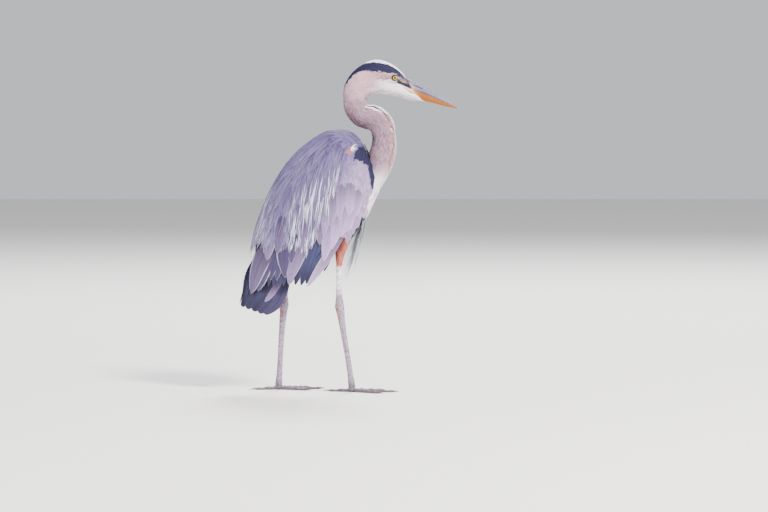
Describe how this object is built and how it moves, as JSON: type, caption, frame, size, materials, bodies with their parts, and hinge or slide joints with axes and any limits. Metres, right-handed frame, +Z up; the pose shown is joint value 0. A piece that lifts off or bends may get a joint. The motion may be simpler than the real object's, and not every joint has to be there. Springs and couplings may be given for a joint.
{
  "type": "great blue heron",
  "caption": "Great blue heron standing with its neck drawn up in an S and its wings folded, a still life-size model.",
  "frame": {"origin": "centre of the bounding box's foot, on the floor under the bird", "axes": "+X the way the bird faces, +Y to its left, +Z up"},
  "size_m": [0.4984, 0.2008, 0.744],
  "materials": {
    "head_feathers": "white face, slate crown stripe, soft short feathers",
    "neck_feathers": "matt pinkish grey feathers",
    "grey_feathers": "matt blue-grey feathers with pale edges",
    "slate_feathers": "satin slate feathers",
    "rust_feathers": "matt rust-coloured short feathers",
    "upper_bill": "horn, satin, grey with a dusky ridge",
    "lower_bill": "horn, satin, orange-yellow",
    "eye": "wet, yellow iris with a round black pupil",
    "leg_skin": "scaly skin, matt, pinkish grey",
    "claw": "horn, dark"
  },
  "bodies": {
    "root": {"head": "head_feathers", "neck_upper": "neck_feathers", "neck_middle": "neck_feathers", "neck_lower": "neck_feathers", "trunk": "grey_feathers", "back": "grey_feathers", "wing_left": "grey_feathers", "wing_right": "grey_feathers", "flight_feathers_left": "slate_feathers", "flight_feathers_right": "slate_feathers", "tail": "slate_feathers", "breast_plumes": "neck_feathers", "bill_upper": "upper_bill", "bill_lower": "lower_bill", "eye_left": "eye", "eye_right": "eye", "thigh_left": "rust_feathers", "shank_left": "leg_skin", "tarsus_left": "leg_skin", "toe_left_hind": "leg_skin", "claw_left_hind": "claw", "toe_left_inner": "leg_skin", "claw_left_inner": "claw", "toe_left_middle": "leg_skin", "claw_left_middle": "claw", "toe_left_outer": "leg_skin", "claw_left_outer": "claw", "thigh_right": "rust_feathers", "shank_right": "leg_skin", "tarsus_right": "leg_skin", "toe_right_hind": "leg_skin", "claw_right_hind": "claw", "toe_right_inner": "leg_skin", "claw_right_inner": "claw", "toe_right_middle": "leg_skin", "claw_right_middle": "claw", "toe_right_outer": "leg_skin", "claw_right_outer": "claw"}
  },
  "joints": []
}
